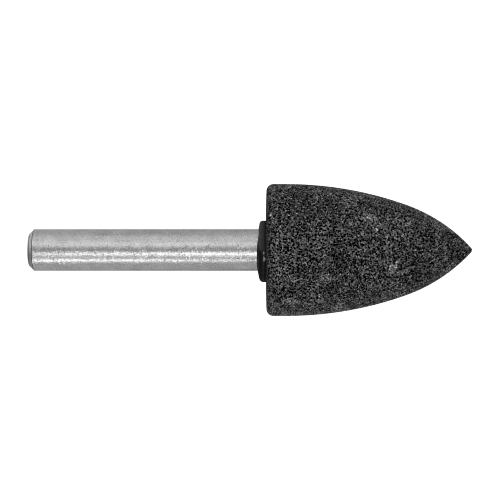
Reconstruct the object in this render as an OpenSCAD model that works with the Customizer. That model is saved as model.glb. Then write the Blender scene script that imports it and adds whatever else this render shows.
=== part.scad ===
// Mounted point: a pointed-arch abrasive head cemented to a straight steel spindle.
// The spindle's axis runs along X, with the head's tip towards +X. The origin lies on the
// axis, where the bare shank ends and the cement collar begins.

/* [Shank] */
// Diameter of the bare shank that a collet grips
shank_d = 6; // [3:0.5:8]
// Length of the bare shank, from its free end to the collar
shank_len = 32.8; // [20:0.2:60]
// Chamfer on the shank's free end
shank_chamfer = 0.7; // [0.2:0.1:1.2]

/* [Seat of the spindle in the head] */
// How far the spindle reaches into the head
seat_len = 15; // [10:0.5:18]
// Chamfer on the seated end
seat_chamfer = 0.5; // [0.2:0.1:1]
// How far the full shank diameter runs in under the collar
seat_lap = 0.1; // [0.05:0.01:0.2]
// Width of each ring groove that keys the spindle to the cement
groove_w = 1.2; // [0.6:0.1:1.8]
// Depth of each ring groove
groove_depth = 0.4; // [0.2:0.05:0.7]
// Spacing of the ring grooves
groove_pitch = 3; // [2:0.1:5]

/* [Cement] */
// Thickness of the cement between the spindle and the head's bore
cement_gap = 0.35; // [0.15:0.05:0.8]
// Depth of cement left in the bore beyond the seated end
cement_end = 0.8; // [0.3:0.1:2]
// Width of the collar round the shank
collar_w = 1.43; // [1:0.01:2.5]
// Length of the collar, from the bare shank to the head's back face
collar_len = 1.3; // [0.9:0.1:3]
// Slope of the collar's domed rear face at its edge
collar_slope = 10; // [4:1:20]
// Radius on the collar's rear edge
collar_edge_r = 0.4; // [0.1:0.05:0.5]
// How far the collar has set off the spindle's axis
collar_offset = 0.2; // [0:0.05:0.4]

/* [Head] */
// Largest diameter of the head
head_d = 19; // [15:0.5:25]
// Length of the head, from its back face to its blunt tip
head_len = 29.6; // [26:0.2:40]
// Length of straight side at the back, measured from the back face
head_land = 2.8; // [1.8:0.1:6]
// Radius on the edge of the back face
head_back_r = 1; // [0.3:0.1:1.5]
// Angle through which the long flank curve turns
flank_angle = 19.5; // [14:0.5:23]
// Slope of the side where the nose curve meets the blunt tip
point_angle = 47; // [42:0.5:55]
// Radius of the blunt tip
tip_r = 0.5; // [0.2:0.1:1.5]

/* [Hidden] */

// Sides of the round forms, and how far a drawn arc may stray from the true one
$fn = 96;
arc_tolerance = 0.002;

// Radii that the three pieces share
shank_r = shank_d / 2;
groove_r = shank_r - groove_depth;
bore_r = shank_r + cement_gap;
collar_r = shank_r + collar_w;
head_r = head_d / 2;

// Places along the axis
head_back = collar_len;
head_tip = head_back + head_len;
seat_end = head_back + seat_len;
bore_end = seat_end + cement_end;

// Ring grooves that fit between the collar's rear and the seated end's chamfer
groove_room = seat_end - seat_chamfer - seat_lap - groove_w;
groove_count = floor(groove_room / groove_pitch) + 1;

// Where the flank begins and where the nose meets the ball of the tip
land_end = head_back + head_land;
tip_centre = head_tip - tip_r;
nose_end = tip_centre + tip_r * sin(point_angle);
nose_end_r = tip_r * cos(point_angle);

// The flank and nose curves are two arcs that run smoothly from the straight side to the tip.
// Their radii solve two equations: one for the length they cover, one for the drop in radius.
flank_run = sin(flank_angle);
flank_drop = 1 - cos(flank_angle);
nose_run = sin(point_angle) - sin(flank_angle);
nose_drop = cos(flank_angle) - cos(point_angle);
curve_run = nose_end - land_end;
curve_drop = head_r - nose_end_r;
curve_det = flank_run * nose_drop - flank_drop * nose_run;
flank_r = (curve_run * nose_drop - curve_drop * nose_run) / curve_det;
nose_r = (flank_run * curve_drop - flank_drop * curve_run) / curve_det;
flank_centre = [head_r - flank_r, land_end];
nose_centre = flank_centre + (flank_r - nose_r) * [cos(flank_angle), sin(flank_angle)];

// The collar's rear face is part of a ball that meets the shank at the origin's plane
dome_r = (collar_r - collar_edge_r) / sin(collar_slope) + collar_edge_r;
dome_centre = sqrt(dome_r * dome_r - shank_r * shank_r);
edge_centre = dome_centre - (dome_r - collar_edge_r) * cos(collar_slope);

// Points along an arc in the plane of radius and axis. Angles start from the outward radius.
function arc(centre, r, from, to) =
    let (steps = ceil((to - from) / (2 * acos(1 - arc_tolerance / r))))
    [for (i = [0:steps]) let (a = from + (to - from) * i / steps) centre + r * [cos(a), sin(a)]];

// Side of the seated end: full-diameter lands with ring grooves between them
function seat_side() = [
    for (i = [0:groove_count - 1])
        let (start = seat_lap + i * groove_pitch, end = start + groove_w)
        each [[shank_r, start], [groove_r, start], [groove_r, end], [shank_r, end]]
];

function spindle_outline() = concat(
    [[0, -shank_len], [shank_r - shank_chamfer, -shank_len], [shank_r, shank_chamfer - shank_len]],
    seat_side(),
    [[shank_r, seat_end - seat_chamfer], [shank_r - seat_chamfer, seat_end], [0, seat_end]]
);

function head_outline() = concat(
    [[0, head_back]],
    arc([head_r - head_back_r, head_back + head_back_r], head_back_r, -90, 0),
    arc(flank_centre, flank_r, 0, flank_angle),
    arc(nose_centre, nose_r, flank_angle, point_angle),
    arc([0, tip_centre], tip_r, point_angle, 90)
);

function collar_outline() = concat(
    arc([0, dome_centre], dome_r, -90, collar_slope - 90),
    arc([collar_r - collar_edge_r, edge_centre], collar_edge_r, collar_slope - 90, 0),
    [[collar_r, head_back], [0, head_back]]
);

// Lays a form that was turned about Z along the part's own axis
module along_x() {
    rotate([0, 90, 0]) children();
}

module spindle_form() {
    rotate_extrude() polygon(spindle_outline());
}

// The filled bore: the cement's outer form inside the head, rooted in the collar
module bore_form(start) {
    translate([0, 0, start]) cylinder(r = bore_r, h = bore_end - start);
}

module spindle() {
    color("silver") along_x() spindle_form();
}

module abrasive_head() {
    color("dimgray") along_x() difference() {
        rotate_extrude() polygon(head_outline());
        bore_form(0);
    }
}

module cement_collar() {
    color([0.13, 0.13, 0.13]) along_x() difference() {
        union() {
            translate([0, -collar_offset, 0]) rotate_extrude() polygon(collar_outline());
            bore_form(collar_len / 2);
        }
        spindle_form();
    }
}

spindle();
abrasive_head();
cement_collar();
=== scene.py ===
"""Looks of the mounted point: a drawn steel spindle, a trued abrasive head and a set cement collar.

Each piece is turned about the spindle's axis, which lies along X, and takes its place and main
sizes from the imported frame. Lengths in the fields are millimetres and angles are degrees.
"""

import logging
import math
from collections.abc import Mapping
from dataclasses import dataclass, field
from enum import Enum
from typing import Any

import bpy
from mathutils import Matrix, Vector

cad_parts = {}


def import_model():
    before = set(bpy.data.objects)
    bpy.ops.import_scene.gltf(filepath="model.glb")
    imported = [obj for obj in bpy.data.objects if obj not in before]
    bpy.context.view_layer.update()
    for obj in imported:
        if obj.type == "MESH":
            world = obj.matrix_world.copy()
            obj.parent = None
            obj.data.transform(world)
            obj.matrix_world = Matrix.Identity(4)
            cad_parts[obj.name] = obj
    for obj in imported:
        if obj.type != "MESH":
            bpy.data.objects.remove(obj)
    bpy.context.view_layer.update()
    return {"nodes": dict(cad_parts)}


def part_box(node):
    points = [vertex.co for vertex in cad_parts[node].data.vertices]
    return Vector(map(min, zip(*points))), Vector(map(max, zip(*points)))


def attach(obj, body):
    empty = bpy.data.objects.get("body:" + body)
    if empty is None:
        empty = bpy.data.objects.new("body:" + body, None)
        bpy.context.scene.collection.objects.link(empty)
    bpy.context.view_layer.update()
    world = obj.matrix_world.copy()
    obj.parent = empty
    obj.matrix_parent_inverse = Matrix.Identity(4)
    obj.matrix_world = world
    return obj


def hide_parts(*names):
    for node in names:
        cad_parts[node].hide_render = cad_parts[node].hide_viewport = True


Point = tuple[float, float]
Triple = tuple[float, float, float]

MM = 0.001
LOG = logging.getLogger("mounted_point")

# Radius of the head's bore, which the cement fills round the seated spindle
BORE_RADIUS = 3.35
# Steps in the small arc that rounds a corner of an outline
EDGE_STEPS = 4
# Keeps the part of a place that lies across the axis
ACROSS: Triple = (0.0, 1.0, 1.0)
# Average of a noise pattern or a random number, and the range that holds most of a noise pattern
MIDDLE = 0.5
NOISE_LOW = 0.3
NOISE_HIGH = 0.7
# Guards against rounding where a quotient is cut to a whole number
ROUNDING = 1e-6
HALF_INDEX = 0.5


class Piece(Enum):
    """The three pieces, by the names of the solids that they stand for."""

    SPINDLE = "spindle"
    HEAD = "abrasive_head"
    COLLAR = "cement_collar"


class Slot(Enum):
    """The record's material slots."""

    STEEL = "shank_steel"
    GRAIN = "abrasive_grain"
    CEMENT = "bonding_cement"


class Mask(Enum):
    """Point attributes that travel from an outline to its turned mesh."""

    OUTER = "outer"
    BULGE = "bulge"
    REST = "rest"


def box_mm(piece: Piece) -> tuple[Vector, Vector]:
    """Returns the lowest and highest corners of a piece's solid, in millimetres."""
    low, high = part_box(piece.value)
    return low / MM, high / MM


def arc(centre: Point, radius: float, start: float, end: float, step: float) -> list[Point]:
    """Places points along an arc in the plane of axis and radius.

    Args:
        centre: Place along the axis and distance from it.
        radius: Radius of the arc.
        start: Slope of the outward normal at the first point, from the outward radius.
        end: Slope of the outward normal at the last point.
        step: Longest distance between two points.

    Returns:
        Points as (place along the axis, radius).
    """
    turn = math.radians(end - start)
    count = max(2, math.ceil(abs(turn) * radius / step))
    angles = [math.radians(start) + turn * i / count for i in range(count + 1)]
    return [(centre[0] + radius * math.sin(a), centre[1] + radius * math.cos(a)) for a in angles]


def line(start: Point, end: Point, step: float) -> list[Point]:
    """Places points along a straight stretch.

    Args:
        start: First point.
        end: Last point.
        step: Longest distance between two points.

    Returns:
        Points as (place along the axis, radius).
    """
    count = max(1, math.ceil(math.dist(start, end) / step))
    return [
        (start[0] + (end[0] - start[0]) * i / count, start[1] + (end[1] - start[1]) * i / count)
        for i in range(count + 1)
    ]


def broken_edge(before: Point, corner: Point, after: Point, radius: float) -> list[Point]:
    """Rounds a corner of an outline with a small arc.

    Args:
        before: A point on the way into the corner.
        corner: The sharp corner.
        after: A point on the way out of it.
        radius: Radius of the rounding.

    Returns:
        Points of the rounded corner, in order.
    """
    middle = Vector(corner)
    way_in = (Vector(before) - middle).normalized()
    way_out = (Vector(after) - middle).normalized()
    half = way_in.angle(way_out) / 2
    reach = radius / math.tan(half)
    centre = middle + (way_in + way_out).normalized() * radius / math.sin(half)
    first = (middle + way_in * reach - centre) / radius
    last = (middle + way_out * reach - centre) / radius
    spokes = [first.slerp(last, i / EDGE_STEPS) for i in range(EDGE_STEPS + 1)]
    return [tuple(centre + spoke.normalized() * radius) for spoke in spokes]


class Wiring:
    """Adds nodes to one node tree and joins their sockets."""

    def __init__(self, tree: bpy.types.NodeTree) -> None:
        """Keeps the tree that the nodes go into."""
        self.tree = tree

    def node(self, kind: str, inputs: Mapping[Any, Any] | None = None, **settings: Any) -> bpy.types.Node:
        """Adds a node, applies its settings and feeds its inputs.

        Args:
            kind: Blender's name for the type of node.
            inputs: Values or output sockets, by input name or number.
            settings: Properties of the node itself.

        Returns:
            The new node.
        """
        node = self.tree.nodes.new(kind)
        for name, value in settings.items():
            setattr(node, name, value)
        for key, value in (inputs or {}).items():
            self.feed(node.inputs[key], value)
        return node

    def feed(self, socket: bpy.types.NodeSocket, value: Any) -> None:
        """Links an output socket to an input, or sets the input's value.

        Args:
            socket: The input to feed.
            value: An output socket or a plain value.
        """
        if isinstance(value, bpy.types.NodeSocket):
            self.tree.links.new(value, socket)
        else:
            socket.default_value = value

    def math(self, operation: str, *values: Any) -> bpy.types.NodeSocket:
        """Adds a Math node on the given values and returns its output."""
        return self.node("ShaderNodeMath", dict(enumerate(values)), operation=operation).outputs[0]

    def vector(self, operation: str, *values: Any) -> bpy.types.NodeSocket:
        """Adds a Vector Math node on the given values and returns its vector."""
        node = self.node("ShaderNodeVectorMath", dict(enumerate(values)), operation=operation)
        return node.outputs["Vector"]

    def measure(self, operation: str, *values: Any) -> bpy.types.NodeSocket:
        """Adds a Vector Math node on the given vectors and returns the number that it gives."""
        node = self.node("ShaderNodeVectorMath", dict(enumerate(values)), operation=operation)
        return node.outputs["Value"]

    def scaled(self, vector: Any, factor: Any) -> bpy.types.NodeSocket:
        """Multiplies a vector by a number and returns the result."""
        node = self.node("ShaderNodeVectorMath", {"Vector": vector, "Scale": factor}, operation="SCALE")
        return node.outputs["Vector"]

    def parts(self, vector: Any) -> bpy.types.NodeOutputs:
        """Splits a vector and returns its X, Y and Z outputs."""
        return self.node("ShaderNodeSeparateXYZ", {0: vector}).outputs

    def mask(self, mask: Mask) -> bpy.types.NodeSocket:
        """Reads one of the outline's masks in a geometry tree."""
        return self.node("GeometryNodeInputNamedAttribute", {"Name": mask.value}).outputs[0]

    def ramp(
        self, value: Any, low: Any, high: Any, start: Any = 0.0, end: Any = 1.0
    ) -> bpy.types.NodeSocket:
        """Eases a value from one range to another.

        Args:
            value: The value to map.
            low: Where the source range starts.
            high: Where the source range ends.
            start: What low becomes.
            end: What high becomes.

        Returns:
            The mapped value, held at start and end outside the range.
        """
        inputs = {0: value, 1: low, 2: high, 3: start, 4: end}
        return self.node("ShaderNodeMapRange", inputs, interpolation_type="SMOOTHSTEP").outputs[0]

    def noise(
        self, vector: Any, scale: Any, detail: Any = 2.0, roughness: float = 0.5
    ) -> bpy.types.NodeSocket:
        """Adds a noise pattern and returns its value.

        Args:
            vector: Coordinates that the pattern reads.
            scale: Cells to the metre.
            detail: Number of finer layers.
            roughness: Share of each finer layer.

        Returns:
            The noise value, about 0.5 on average.
        """
        inputs = {"Vector": vector, "Scale": scale, "Detail": detail, "Roughness": roughness}
        return self.node("ShaderNodeTexNoise", inputs).outputs[0]

    def grey(self, value: Any) -> bpy.types.NodeSocket:
        """Turns one value into a grey colour."""
        return self.node("ShaderNodeCombineColor", {0: value, 1: value, 2: value}).outputs[0]


def new_group(
    name: str, kind: str, inputs: Mapping[str, tuple[str, Any]], outputs: Mapping[str, str]
) -> Wiring:
    """Starts a node group with named sockets.

    Args:
        name: Name of the group.
        kind: Blender's type of node tree.
        inputs: Socket type and default value, by input name. None leaves the default alone.
        outputs: Socket type, by output name.

    Returns:
        The group's wiring, with its input and output nodes in place.
    """
    tree = bpy.data.node_groups.new(name, kind)
    for label, (socket_type, value) in inputs.items():
        socket = tree.interface.new_socket(name=label, in_out="INPUT", socket_type=socket_type)
        if value is not None:
            socket.default_value = value
    for label, socket_type in outputs.items():
        tree.interface.new_socket(name=label, in_out="OUTPUT", socket_type=socket_type)
    wiring = Wiring(tree)
    wiring.node("NodeGroupInput")
    wiring.node("NodeGroupOutput")
    return wiring


def ends(wiring: Wiring) -> tuple[bpy.types.Node, bpy.types.Node]:
    """Finds where a group begins and ends.

    Args:
        wiring: The group's wiring.

    Returns:
        The group's own input and output nodes.
    """
    nodes = wiring.tree.nodes
    first = next(n for n in nodes if n.bl_idname == "NodeGroupInput")
    last = next(n for n in nodes if n.bl_idname == "NodeGroupOutput")
    return first, last


class PoreField:
    """The field of pores, which the head's shape and its finish both read."""

    # Cells to the metre: the pits, the grain that makes them ragged and the clusters they lie in
    PIT = 2900.0
    FINE = 6000.0
    COARSE = 800.0
    # Layers of the fine grain, and how far grain and clusters sway the pits
    FINE_DETAIL = 0.5
    FINE_ROUGHNESS = 0.6
    RAGGED = 0.8
    CLUSTER = 0.2

    @classmethod
    def place(cls, wiring: Wiring, rest: Any) -> tuple[bpy.types.NodeSocket, bpy.types.NodeSocket]:
        """Adds the field to a tree.

        Args:
            wiring: The tree that the field goes into.
            rest: Places on the trued surface.

        Returns:
            A value that is low in the ragged, loosely clustered pores, and the fine grain alone.
        """
        fine = wiring.noise(rest, cls.FINE, cls.FINE_DETAIL, cls.FINE_ROUGHNESS)
        pits = wiring.node("ShaderNodeTexVoronoi", {"Vector": rest, "Scale": cls.PIT}).outputs["Distance"]
        coarse = wiring.math("SUBTRACT", wiring.noise(rest, cls.COARSE), MIDDLE)
        ragged = wiring.math("MULTIPLY_ADD", wiring.math("SUBTRACT", fine, MIDDLE), cls.RAGGED, pits)
        return wiring.math("MULTIPLY_ADD", coarse, cls.CLUSTER, ragged), fine


class ShapeTrees:
    """Geometry trees, each built once and shared by the pieces that use it."""

    # Segments of a turned form that sets none, and how near its points have to be to be merged
    SEGMENTS = 96
    MERGE_REACH = 0.001

    def __init__(self) -> None:
        """Builds the shared tree that turns an outline into a closed form."""
        self.turned = self._turned_form()

    @classmethod
    def _turned_form(cls) -> bpy.types.NodeTree:
        """Builds the tree that turns an outline of points about the X axis.

        Returns:
            A group with the outline and the number of segments as inputs. Its mesh carries the
            outline's masks, and its first and last ring close on the axis.
        """
        wiring = new_group(
            "Turned form",
            "GeometryNodeTree",
            {"Outline": ("NodeSocketGeometry", None), "Segments": ("NodeSocketInt", cls.SEGMENTS)},
            {"Mesh": "NodeSocketGeometry"},
        )
        given, result = ends(wiring)
        outline, segments = given.outputs["Outline"], given.outputs["Segments"]
        rings = wiring.node("GeometryNodeAttributeDomainSize", {"Geometry": outline}).outputs["Point Count"]
        columns = wiring.math("ADD", segments, 1.0)
        grid = wiring.node("GeometryNodeMeshGrid", {"Vertices X": rings, "Vertices Y": columns})
        index = wiring.node("GeometryNodeInputIndex").outputs[0]
        ring = wiring.math("FLOOR", wiring.math("DIVIDE", wiring.math("ADD", index, HALF_INDEX), columns))
        column = wiring.math("SUBTRACT", index, wiring.math("MULTIPLY", ring, columns))
        position = wiring.node("GeometryNodeInputPosition").outputs[0]
        point = wiring.node(
            "GeometryNodeSampleIndex",
            {"Geometry": outline, "Value": position, "Index": ring},
            data_type="FLOAT_VECTOR",
        ).outputs[0]
        parts = wiring.parts(point)
        angle = wiring.math("MULTIPLY", wiring.math("DIVIDE", column, segments), math.tau)
        across = wiring.math("MULTIPLY", parts["Y"], wiring.math("COSINE", angle))
        upward = wiring.math("MULTIPLY", parts["Y"], wiring.math("SINE", angle))
        place = wiring.node("ShaderNodeCombineXYZ", {0: parts["X"], 1: across, 2: upward}).outputs[0]
        mesh = wiring.node("GeometryNodeSetPosition", {"Geometry": grid.outputs["Mesh"], "Position": place})
        last = mesh.outputs[0]
        for mask in (Mask.OUTER, Mask.BULGE):
            sample = {"Geometry": outline, "Value": wiring.mask(mask), "Index": ring}
            value = wiring.node("GeometryNodeSampleIndex", sample).outputs[0]
            stored = {"Geometry": last, "Name": mask.value, "Value": value}
            last = wiring.node("GeometryNodeStoreNamedAttribute", stored).outputs[0]
        merge = {"Geometry": last, "Distance": cls.MERGE_REACH * MM}
        closed = wiring.node("GeometryNodeMergeByDistance", merge)
        outward = wiring.node("GeometryNodeFlipFaces", {"Mesh": closed.outputs[0]})
        wiring.feed(result.inputs["Mesh"], outward.outputs[0])
        return wiring.tree

    def start(self, name: str, inputs: Mapping[str, tuple[str, Any]]) -> Wiring:
        """Starts a piece's own tree.

        Args:
            name: Name of the tree.
            inputs: Socket type and default value of each input between the segments and the material.

        Returns:
            The tree's wiring. Its first input is the outline and its last the material.
        """
        return new_group(
            name,
            "GeometryNodeTree",
            {
                "Outline": ("NodeSocketGeometry", None),
                "Segments": ("NodeSocketInt", self.SEGMENTS),
                **inputs,
                "Material": ("NodeSocketMaterial", None),
            },
            {"Geometry": "NodeSocketGeometry"},
        )

    def turn(self, wiring: Wiring) -> bpy.types.NodeSocket:
        """Places the turned form in a piece's tree.

        Args:
            wiring: The piece's tree.

        Returns:
            The turned mesh.
        """
        given, _ = ends(wiring)
        inputs = {name: given.outputs[name] for name in ("Outline", "Segments")}
        return wiring.node("GeometryNodeGroup", inputs, node_tree=self.turned).outputs["Mesh"]

    @staticmethod
    def end(wiring: Wiring, mesh: bpy.types.NodeSocket, sharp_angle: float) -> bpy.types.NodeTree:
        """Closes a piece's tree with its shading, realized instances and material.

        Args:
            wiring: The piece's tree.
            mesh: The finished mesh.
            sharp_angle: Edges that turn by more than this stay sharp.

        Returns:
            The finished tree.
        """
        given, result = ends(wiring)
        turn = wiring.node("GeometryNodeInputMeshEdgeAngle").outputs["Unsigned Angle"]
        soft = wiring.node(
            "FunctionNodeCompare", {0: turn, 1: math.radians(sharp_angle)}, operation="LESS_THAN"
        ).outputs[0]
        faces = wiring.node("GeometryNodeSetShadeSmooth", {"Geometry": mesh}, domain="FACE")
        smooth = wiring.node(
            "GeometryNodeSetShadeSmooth", {"Geometry": faces.outputs[0], "Shade Smooth": soft}, domain="EDGE"
        )
        real = wiring.node("GeometryNodeRealizeInstances", {"Geometry": smooth.outputs[0]})
        dressed = wiring.node(
            "GeometryNodeSetMaterial", {"Geometry": real.outputs[0], "Material": given.outputs["Material"]}
        )
        wiring.feed(result.inputs[0], dressed.outputs[0])
        return wiring.tree


@dataclass
class TurnedPiece:
    """A piece that is turned from an outline by a geometry tree."""

    name: str
    stands_for: Piece
    slot: Slot
    segments: int
    outline: list[Point]
    masks: dict[Mask, list[float]] = field(default_factory=dict)

    def _flat(self) -> bpy.types.Mesh:
        """Lays the outline out as a chain of edges.

        Returns:
            A flat mesh that carries the outline's masks.
        """
        flat = bpy.data.meshes.new(self.name)
        points = [(x * MM, r * MM, 0.0) for x, r in self.outline]
        flat.from_pydata(points, [(i, i + 1) for i in range(len(points) - 1)], [])
        for mask in (Mask.OUTER, Mask.BULGE):
            layer = flat.attributes.new(mask.value, "FLOAT", "POINT")
            layer.data.foreach_set("value", self.masks.get(mask, [0.0] * len(points)))
        return flat

    def build(
        self, tree: bpy.types.NodeTree, material: bpy.types.Material, sizes: Mapping[str, Any]
    ) -> None:
        """Makes the piece's mesh and puts it on the frame.

        Args:
            tree: Geometry tree that turns the outline.
            material: The piece's finish.
            sizes: Values of the tree's other inputs, by name.
        """
        flat = self._flat()
        piece = bpy.data.objects.new(self.name, flat)
        bpy.context.scene.collection.objects.link(piece)
        modifier = piece.modifiers.new("Turned", "NODES")
        modifier.node_group = tree
        values = {"Segments": self.segments, "Material": material, **sizes}
        items = tree.interface.items_tree
        sockets = {item.name: item.identifier for item in items if item.in_out == "INPUT"}
        for label, value in values.items():
            modifier[sockets[label]] = value
        graph = bpy.context.evaluated_depsgraph_get()
        turned = piece.evaluated_get(graph)
        mesh = bpy.data.meshes.new_from_object(turned, preserve_all_data_layers=True, depsgraph=graph)
        mesh.name = self.name
        piece.modifiers.clear()
        piece.data = mesh
        bpy.data.meshes.remove(flat)
        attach(piece, "root")
        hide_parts(self.stands_for.value)
        LOG.info("%s: %d faces", self.name, len(mesh.polygons))


@dataclass
class Spindle:
    """The steel spindle: bare shank, chamfered end and the grooved end inside the head."""

    # The free end: its chamfer, the dark line's place on it and the rounding of its edges
    chamfer: float = 0.7
    rim: float = 0.2
    edge_break: float = 0.07
    # The seated end and its ring grooves
    seat_chamfer: float = 0.5
    seat_lap: float = 0.35
    groove_width: float = 1.2
    groove_depth: float = 0.4
    groove_pitch: float = 3.0
    # The mesh
    segments: int = 160
    step: float = 0.6
    sharp_angle: float = 20.0

    def outline(self) -> list[Point]:
        """Works out the turned outline from the free end to the seated end.

        Returns:
            Points as (place along the axis, radius), in millimetres.
        """
        low, high = box_mm(Piece.SPINDLE)
        rear, front, radius = low.x, high.x, high.z
        inner, shoulder = radius - self.chamfer, rear + self.chamfer
        points = [(rear, 0.0)]
        points += broken_edge((rear, 0.0), (rear, inner), (shoulder, radius), self.edge_break)
        points += broken_edge((rear, inner), (shoulder, radius), (front, radius), self.edge_break)
        points += line((shoulder + self.edge_break, radius), (self.seat_lap, radius), self.step)
        room = front - self.seat_chamfer - self.seat_lap - self.groove_width
        floor = radius - self.groove_depth
        for i in range(math.floor(room / self.groove_pitch + ROUNDING) + 1):
            start = self.seat_lap + i * self.groove_pitch
            end = start + self.groove_width
            points += [(start, radius), (start, floor), (end, floor), (end, radius)]
        points += [(front - self.seat_chamfer, radius), (front, radius - self.seat_chamfer), (front, 0.0)]
        return points

    def edges(self) -> tuple[Point, Point]:
        """Works out where the end chamfer shows dark turned lines.

        Returns:
            The line inside its rim and the line at its shoulder, as (place along the axis, radius).
        """
        low, high = box_mm(Piece.SPINDLE)
        inner = high.z - self.chamfer
        return (low.x + self.rim, inner + self.rim), (low.x + self.chamfer, high.z)

    def build(self, trees: ShapeTrees, material: bpy.types.Material) -> None:
        """Builds the spindle and dresses it.

        Args:
            trees: The shared geometry trees.
            material: Drawn steel.
        """
        wiring = trees.start("Turned spindle", {})
        tree = trees.end(wiring, trees.turn(wiring), self.sharp_angle)
        piece = TurnedPiece("turned_spindle", Piece.SPINDLE, Slot.STEEL, self.segments, self.outline())
        piece.build(tree, material, {})


@dataclass
class AbrasiveHead:
    """The pointed-arch head, with its open pores let into the trued surface."""

    # The outline: straight side, rear corner, flank, nose and blunt tip
    land: float = 2.8
    back_radius: float = 1.0
    flank_angle: float = 19.5
    point_angle: float = 47.0
    tip_radius: float = 0.5
    # The pores: their depth, and the range of the pore field over which they sink
    pore_depth: float = 0.24
    pore_low: float = 0.30
    pore_high: float = 0.52
    # The mesh
    segments: int = 384
    step: float = 0.152
    sharp_angle: float = 80.0

    def outline(self) -> tuple[list[Point], int]:
        """Works out the outline from the bottom of the bore to the tip.

        The flank and the nose are two arcs whose radii solve two equations: one for the length
        that they cover and one for the drop in radius.

        Returns:
            Points as (place along the axis, radius), and how many of them lie inside the bore.
        """
        low, high = box_mm(Piece.HEAD)
        back, tip, radius = low.x, high.x, high.z
        bore_end = box_mm(Piece.COLLAR)[1].x
        flank, point = math.radians(self.flank_angle), math.radians(self.point_angle)
        tip_centre = tip - self.tip_radius
        run = tip_centre + self.tip_radius * math.sin(point) - back - self.land
        drop = radius - self.tip_radius * math.cos(point)
        flank_run, flank_drop = math.sin(flank), 1 - math.cos(flank)
        nose_run, nose_drop = math.sin(point) - math.sin(flank), math.cos(flank) - math.cos(point)
        det = flank_run * nose_drop - flank_drop * nose_run
        flank_r = (run * nose_drop - drop * nose_run) / det
        nose_r = (flank_run * drop - flank_drop * run) / det
        flank_centre = (back + self.land, radius - flank_r)
        shift = flank_r - nose_r
        nose_centre = (flank_centre[0] + shift * flank_run, flank_centre[1] + shift * math.cos(flank))
        corner = (back + self.back_radius, radius - self.back_radius)
        bore = [(bore_end, 0.0), (bore_end, BORE_RADIUS)]
        outer = line((back, BORE_RADIUS), (back, corner[1]), self.step)
        outer += arc(corner, self.back_radius, -90.0, 0.0, self.step)[1:]
        outer += line((corner[0], radius), (flank_centre[0], radius), self.step)[1:]
        outer += arc(flank_centre, flank_r, 0.0, self.flank_angle, self.step)[1:]
        outer += arc(nose_centre, nose_r, self.flank_angle, self.point_angle, self.step)[1:]
        outer += arc((tip_centre, 0.0), self.tip_radius, self.point_angle, 90.0, self.step)[1:]
        return bore + outer, len(bore)

    def tree(self, trees: ShapeTrees) -> bpy.types.NodeTree:
        """Builds the tree that turns the head and lets its pores into the surface.

        Args:
            trees: The shared geometry trees.

        Returns:
            The finished tree.
        """
        wiring = trees.start(
            "Pitted head",
            {
                "Pore depth": ("NodeSocketFloat", 0.0),
                "Pore low": ("NodeSocketFloat", 0.0),
                "Pore high": ("NodeSocketFloat", 1.0),
            },
        )
        given = ends(wiring)[0].outputs
        mesh = trees.turn(wiring)
        position = wiring.node("GeometryNodeInputPosition").outputs[0]
        kept = wiring.node(
            "GeometryNodeStoreNamedAttribute",
            {"Geometry": mesh, "Name": Mask.REST.value, "Value": position},
            data_type="FLOAT_VECTOR",
        )
        pores, _ = PoreField.place(wiring, position)
        sunk = wiring.ramp(pores, given["Pore low"], given["Pore high"], 1.0, 0.0)
        sunk = wiring.math("MULTIPLY", sunk, wiring.mask(Mask.OUTER))
        depth = wiring.math("MULTIPLY", sunk, given["Pore depth"])
        normal = wiring.node("GeometryNodeInputNormal").outputs[0]
        inward = wiring.scaled(normal, wiring.math("MULTIPLY", depth, -1.0))
        pitted = wiring.node("GeometryNodeSetPosition", {"Geometry": kept.outputs[0], "Offset": inward})
        return trees.end(wiring, pitted.outputs[0], self.sharp_angle)

    def build(self, trees: ShapeTrees, material: bpy.types.Material) -> None:
        """Builds the head and dresses it.

        Args:
            trees: The shared geometry trees.
            material: Abrasive grain.
        """
        points, hidden = self.outline()
        outer = [0.0] * (hidden + 1) + [1.0] * (len(points) - hidden - 1)
        masks = {Mask.OUTER: outer}
        piece = TurnedPiece("pitted_head", Piece.HEAD, Slot.GRAIN, self.segments, points, masks)
        sizes = {"Pore depth": self.pore_depth * MM, "Pore low": self.pore_low, "Pore high": self.pore_high}
        piece.build(self.tree(trees), material, sizes)


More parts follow.
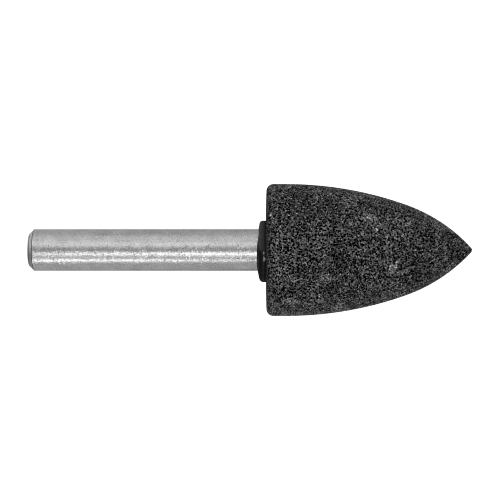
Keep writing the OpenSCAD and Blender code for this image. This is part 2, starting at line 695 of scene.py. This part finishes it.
@dataclass
class CementCollar:
    """The cement: a set collar behind the head, and the thin sleeve that fills the bore."""

    # The outline: the rear edge's rounding and the slope of the domed rear face
    edge_radius: float = 0.48
    slope: float = 10.0
    # How far the collar has set off the axis, forward of the solid's face and out of square
    offset: float = 0.2
    setback: float = 0.15
    lean: float = 0.06
    # The swelling of its rear face, the way it faces and where it starts
    bulge: float = 0.25
    bulge_way: Triple = (0.0, -0.4, 0.92)
    bulge_reach: float = 0.3
    # The unevenness of its rear face
    waver: float = 0.1
    waver_size: float = 1.0
    # The mesh
    segments: int = 192
    step: float = 0.08
    sharp_angle: float = 40.0

    def outline(self) -> tuple[list[Point], list[float], list[float]]:
        """Works out the outline from the seated end, round the collar, to the bore's end.

        Returns:
            Points as (place along the axis, radius), how far each follows the collar's offset,
            and how far each follows its bulge.
        """
        _, high = box_mm(Piece.COLLAR)
        _, seat = box_mm(Piece.SPINDLE)
        back = box_mm(Piece.HEAD)[0].x
        radius, end, shank = high.z, high.x, seat.z
        reach = radius - self.edge_radius
        slope = math.radians(self.slope)
        dome = reach / math.sin(slope) + self.edge_radius
        dome_centre = math.sqrt(dome**2 - shank**2)
        edge_centre = dome_centre - (dome - self.edge_radius) * math.cos(slope)
        inner_slope = math.degrees(math.asin(shank / dome))
        inner = [(seat.x, 0.0), (seat.x, shank)]
        face = arc((dome_centre, 0.0), dome, inner_slope - 90.0, self.slope - 90.0, self.step)
        edge = arc((edge_centre, reach), self.edge_radius, self.slope - 90.0, 0.0, self.step)[1:]
        side = line((edge_centre, radius), (back, radius), self.step)[1:]
        sleeve = [(back, BORE_RADIUS), (end, BORE_RADIUS), (end, 0.0)]
        points = inner + face + edge + side + sleeve
        follow = [min(1.0, i / (len(face) / 2)) for i in range(len(face))]
        outer = [0.0] * len(inner) + follow + [1.0] * (len(edge) + len(side)) + [0.0] * len(sleeve)
        bulge = [0.0] * len(inner) + [1.0] * (len(face) + len(edge))
        bulge += [1.0 - (i + 1) / len(side) for i in range(len(side))] + [0.0] * len(sleeve)
        return points, outer, bulge

    def tree(self, trees: ShapeTrees) -> bpy.types.NodeTree:
        """Builds the tree that turns the collar, sets it off centre and makes its rear face uneven.

        Args:
            trees: The shared geometry trees.

        Returns:
            The finished tree.
        """
        wiring = trees.start(
            "Set collar",
            {
                "Offset": ("NodeSocketFloat", 0.0),
                "Setback": ("NodeSocketFloat", 0.0),
                "Lean": ("NodeSocketFloat", 0.0),
                "Bulge": ("NodeSocketFloat", 0.0),
                "Bulge way": ("NodeSocketVector", None),
                "Bulge reach": ("NodeSocketFloat", 0.0),
                "Waver": ("NodeSocketFloat", 0.0),
                "Waver size": ("NodeSocketFloat", MM),
            },
        )
        given = ends(wiring)[0].outputs
        mesh = trees.turn(wiring)
        outer, bulge = wiring.mask(Mask.OUTER), wiring.mask(Mask.BULGE)
        position = wiring.node("GeometryNodeInputPosition").outputs[0]
        spoke = wiring.vector("NORMALIZE", wiring.vector("MULTIPLY", position, ACROSS))
        facing = wiring.measure("DOT_PRODUCT", spoke, given["Bulge way"])
        swell = wiring.math("MULTIPLY", wiring.ramp(facing, given["Bulge reach"], 1.0), given["Bulge"])
        scale = wiring.math("DIVIDE", 1.0, given["Waver size"])
        waver = wiring.math("SUBTRACT", wiring.noise(position, scale), MIDDLE)
        waver = wiring.math("MULTIPLY", waver, given["Waver"])
        back = wiring.math("SUBTRACT", wiring.math("ADD", given["Setback"], waver), swell)
        across = wiring.parts(spoke)["Y"]
        lean = wiring.math("MULTIPLY", wiring.ramp(across, -1.0, 1.0, 1.0, 0.0), given["Lean"])
        back = wiring.math("MULTIPLY", wiring.math("MULTIPLY_ADD", outer, lean, back), bulge)
        away = wiring.math("MULTIPLY", wiring.math("MULTIPLY", outer, given["Offset"]), -1.0)
        shift = wiring.node("ShaderNodeCombineXYZ", {0: back, 1: away}).outputs[0]
        moved = wiring.node("GeometryNodeSetPosition", {"Geometry": mesh, "Offset": shift})
        return trees.end(wiring, moved.outputs[0], self.sharp_angle)

    def build(self, trees: ShapeTrees, material: bpy.types.Material) -> None:
        """Builds the collar and dresses it.

        Args:
            trees: The shared geometry trees.
            material: Set cement.
        """
        points, outer, bulge = self.outline()
        masks = {Mask.OUTER: outer, Mask.BULGE: bulge}
        piece = TurnedPiece("set_collar", Piece.COLLAR, Slot.CEMENT, self.segments, points, masks)
        sizes = {
            "Offset": self.offset * MM,
            "Setback": self.setback * MM,
            "Lean": self.lean * MM,
            "Bulge": self.bulge * MM,
            "Bulge way": self.bulge_way,
            "Bulge reach": self.bulge_reach,
            "Waver": self.waver * MM,
            "Waver size": self.waver_size * MM,
        }
        piece.build(self.tree(trees), material, sizes)


def plain_grey(tone: float) -> tuple[float, float, float, float]:
    """Returns a grey tone as a colour."""
    return tone, tone, tone, 1.0


def empty_tree(owner: bpy.types.Material | bpy.types.World) -> Wiring:
    """Turns on an owner's nodes and clears them.

    Args:
        owner: A material or a world.

    Returns:
        Wiring for its empty tree.
    """
    owner.use_nodes = True
    owner.node_tree.nodes.clear()
    return Wiring(owner.node_tree)


def new_material(name: str) -> tuple[bpy.types.Material, Wiring, bpy.types.Node]:
    """Starts a material.

    Args:
        name: Name of the finish.

    Returns:
        The material, its wiring and its Principled shader.
    """
    material = bpy.data.materials.new(name)
    wiring = empty_tree(material)
    shader = wiring.node("ShaderNodeBsdfPrincipled")
    wiring.node("ShaderNodeOutputMaterial", {"Surface": shader.outputs[0]})
    return material, wiring, shader


class SharedEffects:
    """Shader groups that several finishes use."""

    # Layers of the mottle's noise, and the share of each finer one
    MOTTLE_DETAIL = 3.0
    MOTTLE_ROUGHNESS = 0.6
    # Noise cells to a spot's radius, and how the noise stretches the distance from its centre
    SPOT_CELLS = 2.4
    SPOT_STRETCH = 2.4
    SPOT_BASE = -0.2

    def __init__(self) -> None:
        """Builds the groups."""
        self.mottle = self._mottle()
        self.spot = self._spot()

    @classmethod
    def _mottle(cls) -> bpy.types.NodeTree:
        """Builds an uneven tone between two values.

        Returns:
            A group that gives a value between Low and High, in blotches of the given size.
        """
        wiring = new_group(
            "Mottle",
            "ShaderNodeTree",
            {
                "Vector": ("NodeSocketVector", None),
                "Size": ("NodeSocketFloat", MM),
                "Detail": ("NodeSocketFloat", cls.MOTTLE_DETAIL),
                "Low": ("NodeSocketFloat", 0.0),
                "High": ("NodeSocketFloat", 1.0),
            },
            {"Value": "NodeSocketFloat"},
        )
        first, result = ends(wiring)
        given = first.outputs
        scale = wiring.math("DIVIDE", 1.0, given["Size"])
        noise = wiring.noise(given["Vector"], scale, given["Detail"], cls.MOTTLE_ROUGHNESS)
        value = wiring.ramp(noise, NOISE_LOW, NOISE_HIGH, given["Low"], given["High"])
        wiring.feed(result.inputs["Value"], value)
        return wiring.tree

    @classmethod
    def _spot(cls) -> bpy.types.NodeTree:
        """Builds a ragged spot about a point.

        Returns:
            A group that gives 1 in the middle of the spot and 0 outside it.
        """
        wiring = new_group(
            "Ragged spot",
            "ShaderNodeTree",
            {
                "Vector": ("NodeSocketVector", None),
                "Centre": ("NodeSocketVector", None),
                "Squeeze": ("NodeSocketVector", (1.0, 1.0, 1.0)),
                "Radius": ("NodeSocketFloat", MM),
            },
            {"Mask": "NodeSocketFloat"},
        )
        first, result = ends(wiring)
        given = first.outputs
        apart = wiring.vector("SUBTRACT", given["Vector"], given["Centre"])
        distance = wiring.measure("LENGTH", wiring.vector("MULTIPLY", apart, given["Squeeze"]))
        noise = wiring.noise(given["Vector"], wiring.math("DIVIDE", cls.SPOT_CELLS, given["Radius"]))
        stretch = wiring.math("MULTIPLY_ADD", noise, cls.SPOT_STRETCH, cls.SPOT_BASE)
        ragged = wiring.math("MULTIPLY", stretch, distance)
        wiring.feed(result.inputs["Mask"], wiring.ramp(ragged, 0.0, given["Radius"], 1.0, 0.0))
        return wiring.tree

    @staticmethod
    def place(wiring: Wiring, tree: bpy.types.NodeTree, inputs: Mapping[str, Any]) -> bpy.types.NodeSocket:
        """Places a group in a finish.

        Args:
            wiring: The finish's wiring.
            tree: The group to place.
            inputs: Values or output sockets, by input name.

        Returns:
            The group's first output.
        """
        return wiring.node("ShaderNodeGroup", inputs, node_tree=tree).outputs[0]


@dataclass(frozen=True)
class RaggedSpot:
    """A ragged spot on a surface: its centre, its radius and how far each axis is squeezed."""

    x: float
    y: float
    z: float
    radius: float
    squeeze: Triple = (1.0, 1.0, 1.0)

    def mask(self, wiring: Wiring, effects: SharedEffects, place: Any) -> bpy.types.NodeSocket:
        """Places the spot in a finish.

        Args:
            wiring: The finish's wiring.
            effects: The shared shader groups.
            place: Places on the surface.

        Returns:
            A value that is 1 in the middle of the spot and 0 outside it.
        """
        centre = (self.x * MM, self.y * MM, self.z * MM)
        inputs = {"Vector": place, "Centre": centre, "Squeeze": self.squeeze, "Radius": self.radius * MM}
        return effects.place(wiring, effects.spot, inputs)


@dataclass(frozen=True)
class SteelSurface:
    """What the steel's tone and relief read: places, the turned end and the two patterns."""

    place: bpy.types.NodeSocket
    parts: bpy.types.NodeOutputs
    radius: bpy.types.NodeSocket
    turned: bpy.types.NodeSocket
    streaks: bpy.types.NodeSocket
    grain: bpy.types.NodeSocket


@dataclass(frozen=True)
class DrawnSteel:
    """Bright ground bar with fine speckle, a few streaks along the axis and dark turned edges."""

    # Tones and roughness, and the range of the grain that the tones spread over
    dark: float = 0.42
    light: float = 0.79
    tone_low: float = 0.25
    tone_high: float = 0.75
    smooth: float = 0.28
    rough: float = 0.33
    # Streaks along the axis, the speckle between them and the clouds over both
    streak_length: float = 4.0
    streak_width: float = 0.14
    streak_detail: float = 3.0
    streak_share: float = 0.2
    speckle: float = 0.14
    speckle_detail: float = 1.5
    layer_share: float = 0.6
    cloud: float = 1.6
    cloud_reach: float = 0.06
    # Fine relief: ripples, and the streaks' share of it
    ripple: float = 0.4
    ripple_detail: float = 0.5
    streak_relief: float = 0.15
    relief: float = 0.004
    # Facets: their size, the tilt of most and of the few that stand out, the squares of the random
    # lean between which the one becomes the other, and the share of tilt on the turned end
    facet: float = 0.14
    facet_flat: float = 0.05
    facet_tilt: float = 0.34
    facet_start: float = 0.25
    facet_full: float = 0.5
    facet_turned: float = 0.35
    # The turned end: its rings, its dark edges and the painted shade across its chamfer, darker towards -Y
    ring_pitch: float = 0.16
    ring_depth: float = 0.04
    edge_width: float = 0.13
    edge_tone: float = 0.16
    chamfer_shade_low: float = 0.55
    chamfer_shade_high: float = 1.2
    shade_start: float = -1.0
    shade_end: float = 0.6

    def material(self, effects: SharedEffects, edges: tuple[Point, ...]) -> bpy.types.Material:
        """Builds the finish.

        Args:
            effects: The shared shader groups.
            edges: Dark turned edges, from the end face forward, as (place along the axis, radius).

        Returns:
            The material.
        """
        material, wiring, shader = new_material("drawn_steel")
        surface = self._surface(wiring, edges[-1][0])
        shade = self._tone(wiring, effects, surface, edges)
        wiring.feed(shader.inputs["Base Color"], wiring.grey(shade))
        roughness = wiring.ramp(surface.grain, NOISE_LOW, NOISE_HIGH, self.smooth, self.rough)
        wiring.feed(shader.inputs["Roughness"], roughness)
        wiring.feed(shader.inputs["Normal"], self._normal(wiring, surface))
        shader.inputs["Metallic"].default_value = 1.0
        return material

    def _surface(self, wiring: Wiring, shoulder: float) -> SteelSurface:
        """Adds the places and patterns that the finish reads.

        Args:
            wiring: The finish's wiring.
            shoulder: Place along the axis where the turned end stops, in millimetres.

        Returns:
            The places and patterns.
        """
        place = wiring.node("ShaderNodeTexCoord").outputs["Object"]
        parts = wiring.parts(place)
        radius = wiring.measure("LENGTH", wiring.vector("MULTIPLY", place, ACROSS))
        turned = wiring.math("LESS_THAN", parts["X"], shoulder * MM)
        stretch = (1 / (self.streak_length * MM), 1 / (self.streak_width * MM), 1 / (self.streak_width * MM))
        along = wiring.node("ShaderNodeMapping", {"Vector": place, "Scale": stretch}).outputs[0]
        streaks = wiring.noise(along, 1.0, self.streak_detail, self.layer_share)
        speckle = wiring.noise(place, 1 / (self.speckle * MM), self.speckle_detail, self.layer_share)
        apart = wiring.math("SUBTRACT", streaks, speckle)
        grain = wiring.math("MULTIPLY_ADD", apart, self.streak_share, speckle)
        return SteelSurface(place, parts, radius, turned, streaks, grain)

    def _tone(
        self, wiring: Wiring, effects: SharedEffects, surface: SteelSurface, edges: tuple[Point, ...]
    ) -> bpy.types.NodeSocket:
        """Adds the grain's tone, with dark turned edges and painted shade across the chamfer.

        Args:
            wiring: The finish's wiring.
            effects: The shared shader groups.
            surface: Places and patterns.
            edges: Dark turned edges, as (place along the axis, radius).

        Returns:
            The tone.
        """
        size = {"Vector": surface.place, "Size": self.cloud * MM}
        reach = {"Low": -self.cloud_reach, "High": self.cloud_reach}
        cloud = effects.place(wiring, effects.mottle, {**size, **reach})
        grain = wiring.math("ADD", surface.grain, cloud)
        shade = wiring.ramp(grain, self.tone_low, self.tone_high, self.dark, self.light)
        for x, r in edges:
            along = wiring.math("SUBTRACT", surface.parts["X"], x * MM)
            outward = wiring.math("SUBTRACT", surface.radius, r * MM)
            away = wiring.node("ShaderNodeCombineXYZ", {0: along, 1: outward}).outputs[0]
            away = wiring.measure("LENGTH", away)
            mark = wiring.ramp(away, 0.0, self.edge_width * MM, self.edge_tone, 1.0)
            shade = wiring.math("MULTIPLY", shade, mark)
        # Painted shade: the turned chamfer is darker towards -Y and lighter towards +Y
        start, end = self.shade_start * MM, self.shade_end * MM
        side = wiring.ramp(surface.parts["Y"], start, end, self.chamfer_shade_low, self.chamfer_shade_high)
        return wiring.math("MULTIPLY", shade, wiring.ramp(surface.turned, 0.0, 1.0, 1.0, side))

    def _normal(self, wiring: Wiring, surface: SteelSurface) -> bpy.types.NodeSocket:
        """Adds the fine relief, the turned rings and the facets, of which few are much tilted.

        Args:
            wiring: The finish's wiring.
            surface: Places and patterns.

        Returns:
            The normal.
        """
        ripple = wiring.noise(surface.place, 1 / (self.ripple * MM), self.ripple_detail)
        height = wiring.math("MULTIPLY_ADD", surface.streaks, self.streak_relief, ripple)
        turns = wiring.math("MULTIPLY", surface.radius, math.tau / (self.ring_pitch * MM))
        depth = wiring.math("MULTIPLY", surface.turned, self.ring_depth)
        rings = wiring.math("MULTIPLY", wiring.math("SINE", turns), depth)
        height = wiring.math("ADD", height, rings)
        relief = {"Height": height, "Strength": 1.0, "Distance": self.relief * MM}
        bump = wiring.node("ShaderNodeBump", relief).outputs[0]
        cells = {"Vector": surface.place, "Scale": 1 / (self.facet * MM)}
        chance = wiring.node("ShaderNodeTexVoronoi", cells).outputs["Color"]
        lean = wiring.vector("SUBTRACT", chance, (MIDDLE, MIDDLE, MIDDLE))
        square = wiring.measure("DOT_PRODUCT", lean, lean)
        tilt = wiring.ramp(square, self.facet_start, self.facet_full, self.facet_flat, self.facet_tilt)
        tilt = wiring.math("MULTIPLY", tilt, wiring.ramp(surface.turned, 0.0, 1.0, 1.0, self.facet_turned))
        normal = wiring.vector("ADD", bump, wiring.scaled(lean, tilt))
        return wiring.vector("NORMALIZE", normal)


@dataclass(frozen=True)
class AbrasiveGrain:
    """Charcoal grain with painted shade that blackens the pores, paler grain faces, painted glints, painted
    shade on the rear edge and a few worn patches.
    """

    # Tones of the pores, whose near black is painted shade in the pits over the dark bond, and of the fine
    # grain, and the ranges of the fields that they spread over
    pore_shade: float = 0.001
    dark: float = 0.025
    light: float = 0.115
    pore_low: float = 0.34
    pore_high: float = 0.56
    face_low: float = 0.30
    face_high: float = 0.75
    roughness: float = 0.7
    gloss: float = 0.006
    # Single grains: size, darkest and palest, and a painted glint in the middle of a few
    grain: float = 0.24
    grain_low: float = 0.4
    grain_high: float = 2.6
    painted_glint: float = 0.5
    painted_glint_share: float = 0.87
    painted_glint_core: float = 0.15
    painted_glint_reach: float = 0.5
    # Broad clouds, and painted shade that darkens the rear edge
    cloud: float = 4.0
    cloud_low: float = 0.8
    cloud_high: float = 1.22
    edge_tone: float = 0.4
    rear_shade_reach: float = 0.6
    # A painted glint on the rear edge
    chip_and_glint: float = 0.5
    rear_glint_spot: RaggedSpot = RaggedSpot(1.78, 4.85, 7.97, 0.3, squeeze=(1.6, 1.0, 1.0))
    # Worn patches: paler faces and fuller pores
    patch_gain: float = 1.8
    patch_fill: float = 0.18
    patches: tuple[RaggedSpot, ...] = (
        RaggedSpot(15.45, 4.85, 6.65, 1.3),
        RaggedSpot(11.7, 4.0, 8.0, 0.5),
        RaggedSpot(16.6, 2.85, 7.4, 0.5),
        RaggedSpot(18.8, -2.25, 7.0, 1.1),
        RaggedSpot(9.1, -4.0, 8.4, 1.5),
        RaggedSpot(4.9, -4.05, 8.55, 0.7),
        RaggedSpot(4.3, -7.2, 6.2, 1.2),
        RaggedSpot(11.3, -8.15, 3.8, 0.9),
    )

    def material(self, effects: SharedEffects, back: float) -> bpy.types.Material:
        """Builds the finish.

        Args:
            effects: The shared shader groups.
            back: Place of the head's back face along the axis, in millimetres.

        Returns:
            The material.
        """
        material, wiring, shader = new_material("abrasive_grain")
        rest = wiring.node("ShaderNodeAttribute", attribute_name=Mask.REST.value).outputs["Vector"]
        pores, fine = PoreField.place(wiring, rest)
        face = self._faces(wiring, effects, rest, fine)
        worn: Any = 0.0
        for patch in self.patches:
            worn = wiring.math("MAXIMUM", worn, patch.mask(wiring, effects, rest))
        face = wiring.math("MULTIPLY", face, wiring.math("MULTIPLY_ADD", worn, self.patch_gain, 1.0))
        filled = wiring.math("MULTIPLY_ADD", worn, self.patch_fill, pores)
        solid = wiring.ramp(filled, self.pore_low, self.pore_high)
        # Painted shade: the pores are painted near black, darker than the dark bond alone
        shade = wiring.ramp(solid, 0.0, 1.0, self.pore_shade, face)
        # Painted shade: the rear edge darkens towards the back face
        along = wiring.parts(rest)["X"]
        rear = wiring.ramp(along, back * MM, (back + self.rear_shade_reach) * MM, self.edge_tone, 1.0)
        # Painted highlight: a bright glint painted on the rear edge
        chip_and_glint = wiring.math("MULTIPLY", self.rear_glint_spot.mask(wiring, effects, rest), self.chip_and_glint)
        shade = wiring.math("MULTIPLY_ADD", shade, rear, chip_and_glint)
        wiring.feed(shader.inputs["Base Color"], wiring.grey(shade))
        shader.inputs["Roughness"].default_value = self.roughness
        shader.inputs["Specular IOR Level"].default_value = self.gloss
        return material

    def _faces(
        self, wiring: Wiring, effects: SharedEffects, rest: bpy.types.NodeSocket, fine: bpy.types.NodeSocket
    ) -> bpy.types.NodeSocket:
        """Adds the tone of the grain faces between the pores.

        Args:
            wiring: The finish's wiring.
            effects: The shared shader groups.
            rest: Places on the trued surface.
            fine: The fine grain.

        Returns:
            The tone, from grain to grain and with a painted glint on a few.
        """
        face = wiring.ramp(fine, self.face_low, self.face_high, self.dark, self.light)
        blotch = {"Vector": rest, "Size": self.cloud * MM, "Detail": 0.0}
        reach = {"Low": self.cloud_low, "High": self.cloud_high}
        face = wiring.math("MULTIPLY", face, effects.place(wiring, effects.mottle, {**blotch, **reach}))
        grains = wiring.node("ShaderNodeTexVoronoi", {"Vector": rest, "Scale": 1 / (self.grain * MM)})
        chance = wiring.node("ShaderNodeSeparateColor", {0: grains.outputs["Color"]}).outputs
        spread = wiring.math("POWER", self.grain_high / self.grain_low, chance[0])
        face = wiring.math("MULTIPLY", face, wiring.math("MULTIPLY", spread, self.grain_low))
        # Painted highlight: a bright glint painted into the middle of a few grains
        core = wiring.ramp(grains.outputs["Distance"], self.painted_glint_core, self.painted_glint_reach, 1.0, 0.0)
        painted_shine = wiring.math("MULTIPLY", wiring.ramp(chance[1], self.painted_glint_share, 1.0), core)
        return wiring.math("ADD", face, wiring.math("MULTIPLY", painted_shine, self.painted_glint))


@dataclass(frozen=True)
class SetCement:
    """Matt black cement with painted shade: darker on the lower side, at the rear and in the crease; pale
    chips by the head.
    """

    # Tones, roughness and the size of the blotches
    dark: float = 0.032
    light: float = 0.048
    smooth: float = 0.45
    rough: float = 0.6
    gloss: float = 0.03
    mottle: float = 0.5
    # Across the collar: painted shade, darker towards the lower side
    damp_tone: float = 0.55
    damp_start: float = 0.6
    damp_end: float = -0.8
    # Along the axis: painted shade at the rear, whose edge lies further forward on the lower side, and a
    # painted shadow in the crease
    rear_shade_tone: float = 0.3
    rear_high: float = 0.2
    rear_low: float = 0.62
    rear_blend: float = 0.14
    crease_shadow_tone: float = 0.2
    crease_setback: float = 0.22
    crease_width: float = 0.22
    ragged: float = 0.3
    ragged_size: float = 0.45
    # Pale chips
    chip_and_glint: float = 0.4
    chips: tuple[RaggedSpot, ...] = (
        RaggedSpot(0.92, -1.25, 4.25, 0.5, squeeze=(2.4, 1.0, 1.0)),
        RaggedSpot(0.88, -0.45, 4.35, 0.35, squeeze=(2.4, 1.0, 1.0)),
    )

    def material(self, effects: SharedEffects, crease: float) -> bpy.types.Material:
        """Builds the finish.

        Args:
            effects: The shared shader groups.
            crease: Place along the axis where the collar meets the head, in millimetres.

        Returns:
            The material.
        """
        material, wiring, shader = new_material("set_cement")
        place = wiring.node("ShaderNodeTexCoord").outputs["Object"]
        parts = wiring.parts(place)
        blotch = {"Vector": place, "Size": self.mottle * MM}
        tone = effects.place(wiring, effects.mottle, {**blotch, "Low": self.dark, "High": self.light})
        low, high = self.damp_end * MM, self.damp_start * MM
        # Painted shade: the collar is darker towards its lower side
        damp = wiring.ramp(parts["Y"], low, high, self.damp_tone, 1.0)
        stray = wiring.math("SUBTRACT", wiring.noise(place, 1 / (self.ragged_size * MM)), MIDDLE)
        along = wiring.math("MULTIPLY_ADD", stray, self.ragged * MM, parts["X"])
        # Painted shade: the rear face is darker where the collar meets the shank, reaching further forward
        # on the lower side
        rear = wiring.ramp(parts["Y"], low, high, self.rear_low * MM, self.rear_high * MM)
        before = wiring.math("SUBTRACT", along, rear)
        blend = self.rear_blend * MM
        rear = wiring.ramp(before, -blend, blend, self.rear_shade_tone, 1.0)
        # Painted shadow: a dark ragged line in the crease where the collar meets the head
        apart = wiring.math("ABSOLUTE", wiring.math("SUBTRACT", along, (crease - self.crease_setback) * MM))
        shadow = wiring.ramp(apart, 0.0, self.crease_width * MM, self.crease_shadow_tone, 1.0)
        for share in (damp, rear, shadow):
            tone = wiring.math("MULTIPLY", tone, share)
        for spot in self.chips:
            tone = wiring.math("MULTIPLY_ADD", spot.mask(wiring, effects, place), self.chip_and_glint, tone)
        wiring.feed(shader.inputs["Base Color"], wiring.grey(tone))
        sheen = effects.place(wiring, effects.mottle, {**blotch, "Low": self.smooth, "High": self.rough})
        wiring.feed(shader.inputs["Roughness"], sheen)
        shader.inputs["Specular IOR Level"].default_value = self.gloss
        return material


@dataclass(frozen=True)
class PaleFloor:
    """A plain floor that reads white from above and stays dim in reflections."""

    albedo: float = 0.18
    glow: float = 0.95
    mirrored: float = 0.51

    def material(self) -> bpy.types.Material:
        """Builds the finish.

        Returns:
            The material.
        """
        material = bpy.data.materials.new("pale_floor")
        wiring = empty_tree(material)
        seen = wiring.node("ShaderNodeBsdfDiffuse", {"Color": plain_grey(self.albedo)})
        glow = wiring.node("ShaderNodeEmission", {"Color": plain_grey(1.0), "Strength": self.glow})
        bright = wiring.node("ShaderNodeAddShader", {0: seen.outputs[0], 1: glow.outputs[0]})
        dim = wiring.node("ShaderNodeBsdfDiffuse", {"Color": plain_grey(self.mirrored)})
        camera = wiring.node("ShaderNodeLightPath").outputs["Is Camera Ray"]
        mixed = wiring.node("ShaderNodeMixShader", {0: camera, 1: dim.outputs[0], 2: bright.outputs[0]})
        wiring.node("ShaderNodeOutputMaterial", {"Surface": mixed.outputs[0]})
        return material


@dataclass(frozen=True)
class Panel:
    """A soft light, set by the way it is seen from the axis.

    Its tilt is from straight overhead, towards +Y. A panel that isn't mirrored lights the pieces
    without showing in their reflections.
    """

    name: str
    tilt: float
    width: float
    radiance: float
    along: float = 0.0
    length: float = 600.0
    distance: float = 450.0
    mirrored: bool = True

    def build(self) -> None:
        """Hangs the light over the object, facing the axis."""
        data = bpy.data.lights.new(self.name, "AREA")
        data.shape = "RECTANGLE"
        data.size, data.size_y = self.length * MM, self.width * MM
        data.energy = self.radiance * math.pi * data.size * data.size_y
        lamp = bpy.data.objects.new(self.name, data)
        tilt = math.radians(self.tilt)
        reach = self.distance * MM
        lamp.location = (self.along * MM, math.sin(tilt) * reach, math.cos(tilt) * reach)
        lamp.rotation_euler = (-tilt, 0.0, 0.0)
        lamp.visible_camera = False
        lamp.visible_glossy = self.mirrored
        bpy.context.scene.collection.objects.link(lamp)


@dataclass
class Studio:
    """Floor, lights and camera."""

    # The camera: its height over the axis, its lens and film, and the place that it looks at
    camera_distance: float = 204.0
    lens: float = 102.0
    sensor_width: float = 36.0
    picture_centre: float = -1.07
    clip_near: float = 10.0
    clip_far: float = 10000.0
    pixel_filter: float = 1.0
    # The floor and the surround: its strength at the sides and overhead, and where it changes
    floor_reach: float = 3000.0
    ambient: float = 0.42
    overhead: float = 0.25
    dim_reach: float = 0.1
    tent_reach: float = 0.45
    panels: tuple[Panel, ...] = (
        Panel("broad_panel", 49.0, 690.0, 0.35),
        Panel("core_panel", 30.0, 130.0, 0.45),
        Panel("near_strip", -21.5, 98.0, 3.2, along=-3.0, length=200.0),
        Panel("far_strip", -60.0, 56.0, 4.8, along=-135.0, length=250.0),
        Panel("upper_side", 62.0, 600.0, 2.9, along=-600.0, mirrored=False),
        Panel("lower_side", -62.0, 600.0, 2.3, along=-580.0, mirrored=False),
        Panel("upper_front", 62.0, 600.0, 1.9, along=560.0, mirrored=False),
        Panel("lower_front", -62.0, 600.0, 0.9, along=560.0, mirrored=False),
    )

    def build(self) -> None:
        """Sets up the floor, the lights and the camera."""
        self._floor()
        self._world()
        for panel in self.panels:
            panel.build()
        self._camera()
        bpy.context.scene.view_settings.view_transform = "Standard"
        bpy.context.scene.cycles.filter_width = self.pixel_filter
        LOG.info("studio: %d lights", len(self.panels))

    def _floor(self) -> None:
        """Lays the floor under the head."""
        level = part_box(Piece.HEAD.value)[0].z
        reach = self.floor_reach * MM
        mesh = bpy.data.meshes.new("floor")
        ways = ((-1, -1), (1, -1), (1, 1), (-1, 1))
        mesh.from_pydata([(x * reach, y * reach, level) for x, y in ways], [], [(0, 1, 2, 3)])
        mesh.materials.append(PaleFloor().material())
        floor = bpy.data.objects.new("floor", mesh)
        bpy.context.scene.collection.objects.link(floor)

    def _world(self) -> None:
        """Surrounds the object with soft grey, dimmer overhead, which the camera sees as white."""
        world = bpy.data.worlds.new("tent")
        wiring = empty_tree(world)
        way = wiring.node("ShaderNodeTexCoord").outputs["Generated"]
        aside = wiring.math("ABSOLUTE", wiring.parts(way)["Y"])
        tent = wiring.ramp(aside, self.dim_reach, self.tent_reach, self.overhead, self.ambient)
        camera = wiring.node("ShaderNodeLightPath").outputs["Is Camera Ray"]
        strength = wiring.math("MAXIMUM", camera, tent)
        sky = wiring.node("ShaderNodeBackground", {"Color": plain_grey(1.0), "Strength": strength})
        wiring.node("ShaderNodeOutputWorld", {"Surface": sky.outputs[0]})
        bpy.context.scene.world = world

    def _camera(self) -> None:
        """Looks straight down on the axis, with the tip to the right."""
        data = bpy.data.cameras.new("camera")
        data.lens = self.lens
        data.sensor_width = self.sensor_width
        data.clip_start, data.clip_end = self.clip_near * MM, self.clip_far * MM
        camera = bpy.data.objects.new("camera", data)
        camera.location = (self.picture_centre * MM, 0.0, self.camera_distance * MM)
        bpy.context.scene.collection.objects.link(camera)
        bpy.context.scene.camera = camera


def main() -> None:
    """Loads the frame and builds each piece."""
    logging.basicConfig(level=logging.INFO, format="%(name)s: %(message)s")
    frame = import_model()
    LOG.info("frame: %d nodes", len(frame["nodes"]))
    trees = ShapeTrees()
    effects = SharedEffects()
    spindle = Spindle()
    spindle.build(trees, DrawnSteel().material(effects, spindle.edges()))
    back = box_mm(Piece.HEAD)[0].x
    AbrasiveHead().build(trees, AbrasiveGrain().material(effects, back))
    CementCollar().build(trees, SetCement().material(effects, back))
    Studio().build()


if __name__ == "__main__":
    main()
